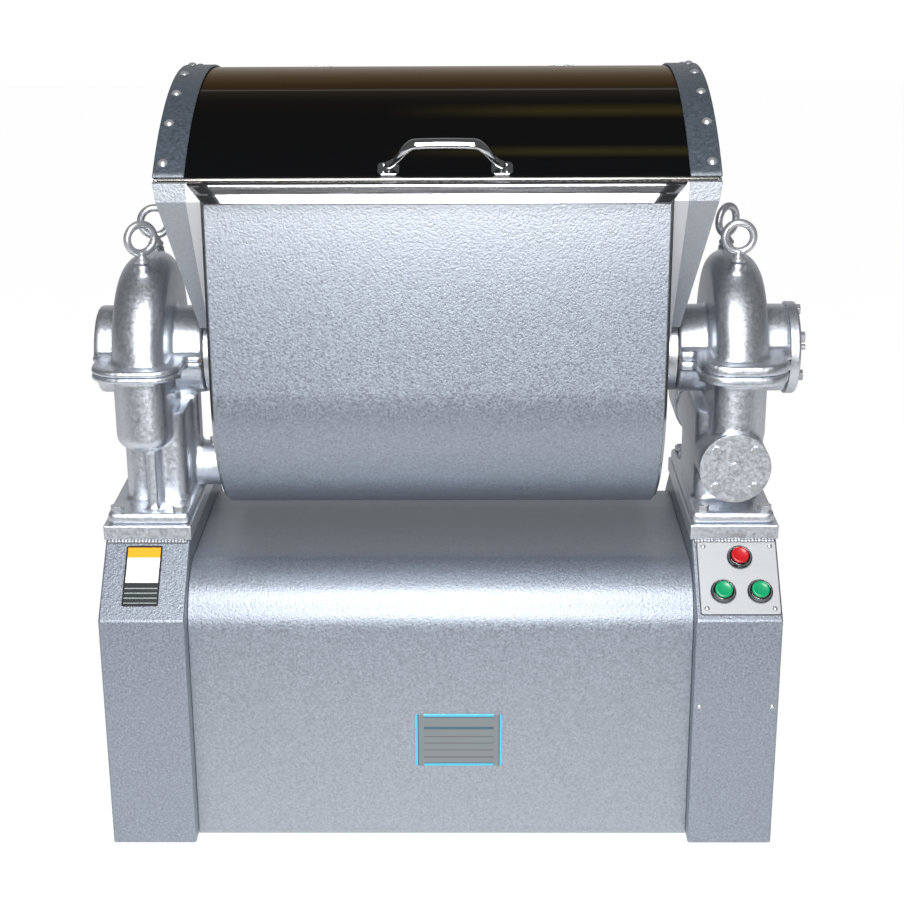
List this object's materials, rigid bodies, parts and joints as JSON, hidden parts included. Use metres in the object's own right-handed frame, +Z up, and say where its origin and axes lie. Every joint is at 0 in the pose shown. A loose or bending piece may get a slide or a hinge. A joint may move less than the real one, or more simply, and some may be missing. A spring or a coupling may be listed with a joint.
{
  "type": "dough mixer",
  "caption": "Free-standing dough mixer with a tilting trough bowl, curved hinged lid and cast drive casings on sheet-metal pedestals.",
  "frame": {"origin": "on the floor, midway between the pedestals and straight under the mixing shaft", "axes": "+X across the machine to the worm casing, +Y to the back, +Z up; the mixing shaft lies along X"},
  "size_m": [0.859, 0.4029, 0.904],
  "materials": {
    "silver_paint": "silver hammered enamel",
    "casting_paint": "silver enamel on cast iron",
    "stainless": "polished",
    "steel": "machined",
    "cast_iron": "machined",
    "zinc_fasteners": "zinc plated",
    "bronze": "machined",
    "chrome": "polished",
    "bezel_metal": "satin",
    "red_plastic": "gloss",
    "green_plastic": "gloss",
    "plate_metal": "satin",
    "label_film": "satin",
    "rubber": "matte",
    "black_plastic": "matte"
  },
  "bodies": {
    "frame": {"base_bolts": "zinc_fasteners", "base_plate": "silver_paint", "bearing_cap": "casting_paint", "button_bezels": "bezel_metal", "cable_gland": "black_plastic", "casing_bolts": "zinc_fasteners", "casing_lower_left": "casting_paint", "casing_lower_right": "casting_paint", "casing_upper_left": "casting_paint", "casing_upper_right": "casting_paint", "control_panel": "stainless", "drive_belt": "rubber", "eye_bolts": "zinc_fasteners", "front_cover": "silver_paint", "grease_fitting": "zinc_fasteners", "label_plate": "label_film", "main_motor": "casting_paint", "name_plate": "plate_metal", "oil_plug": "zinc_fasteners", "pedestal_left": "silver_paint", "pedestal_right": "silver_paint", "rear_cover": "silver_paint", "shaft_bushes": "bronze", "shaft_end_plug": "casting_paint", "small_screws": "zinc_fasteners", "tilt_motor": "casting_paint", "top_plates": "silver_paint", "trunnion_bushes": "bronze", "worm_cap": "casting_paint"},
    "agitator": {"mixing_shaft": "steel", "agitator": "stainless", "drive_gear": "steel"},
    "countershaft": {"pinion_shaft": "steel", "pinion_gear": "steel", "driven_pulley": "cast_iron"},
    "motor_rotor": {"motor_shaft": "steel", "motor_pulley": "cast_iron"},
    "bowl": {"trough": "stainless", "jacket": "silver_paint", "rim_lip": "stainless", "end_walls": "stainless", "end_arms": "stainless", "end_cheek_left": "silver_paint", "end_cheek_right": "silver_paint", "trunnion_left": "casting_paint", "trunnion_right": "casting_paint", "shaft_seals": "bronze", "worm_wheel": "bronze", "bowl_hinge_leaves": "stainless", "hinge_pins": "stainless"},
    "worm": {"worm_shaft": "steel"},
    "lid": {"lid_shell": "stainless", "lid_ends": "stainless", "lid_strips": "silver_paint", "lid_screws": "zinc_fasteners", "lid_handle": "chrome", "lid_hinge_leaves": "stainless"},
    "stop_button": {"stop_button": "red_plastic"},
    "start_button": {"start_button": "green_plastic"},
    "tilt_button": {"tilt_button": "green_plastic"}
  },
  "joints": [
    {"name": "agitator_spin", "type": "hinge", "parent": "frame", "child": "agitator", "pos_m": [0, 0, 0.57], "axis": [1, 0, 0], "continuous": true},
    {"name": "countershaft_spin", "type": "hinge", "parent": "frame", "child": "countershaft", "pos_m": [0, 0, 0.423], "axis": [1, 0, 0], "continuous": true},
    {"name": "motor_spin", "type": "hinge", "parent": "frame", "child": "motor_rotor", "pos_m": [0, 0, 0.106], "axis": [1, 0, 0], "continuous": true},
    {"name": "bowl_tilt", "type": "hinge", "parent": "frame", "child": "bowl", "pos_m": [0, 0, 0.57], "axis": [1, 0, 0], "range_deg": [0, 100]},
    {"name": "worm_spin", "type": "hinge", "parent": "frame", "child": "worm", "pos_m": [0.347, 0, 0.457], "axis": [0, 1, 0], "range_deg": [-4400, 0]},
    {"name": "lid_hinge", "type": "hinge", "parent": "bowl", "child": "lid", "pos_m": [0, 0.192, 0.874], "axis": [-1, 0, 0], "range_deg": [0, 100]},
    {"name": "stop_button_press", "type": "slide", "parent": "frame", "child": "stop_button", "axis": [0, 0.6877, -0.726], "range_m": [0, 0.004], "stiffness_N_per_m": 400},
    {"name": "start_button_press", "type": "slide", "parent": "frame", "child": "start_button", "axis": [0, 0.6877, -0.726], "range_m": [0, 0.004], "stiffness_N_per_m": 400},
    {"name": "tilt_button_press", "type": "slide", "parent": "frame", "child": "tilt_button", "axis": [0, 0.6877, -0.726], "range_m": [0, 0.004], "stiffness_N_per_m": 400}
  ],
  "couplings": [
    {"joint": "countershaft_spin", "follows": "agitator_spin", "ratio": -2.2667},
    {"joint": "motor_spin", "follows": "agitator_spin", "ratio": -4.5333},
    {"joint": "worm_spin", "follows": "bowl_tilt", "ratio": -44}
  ]
}
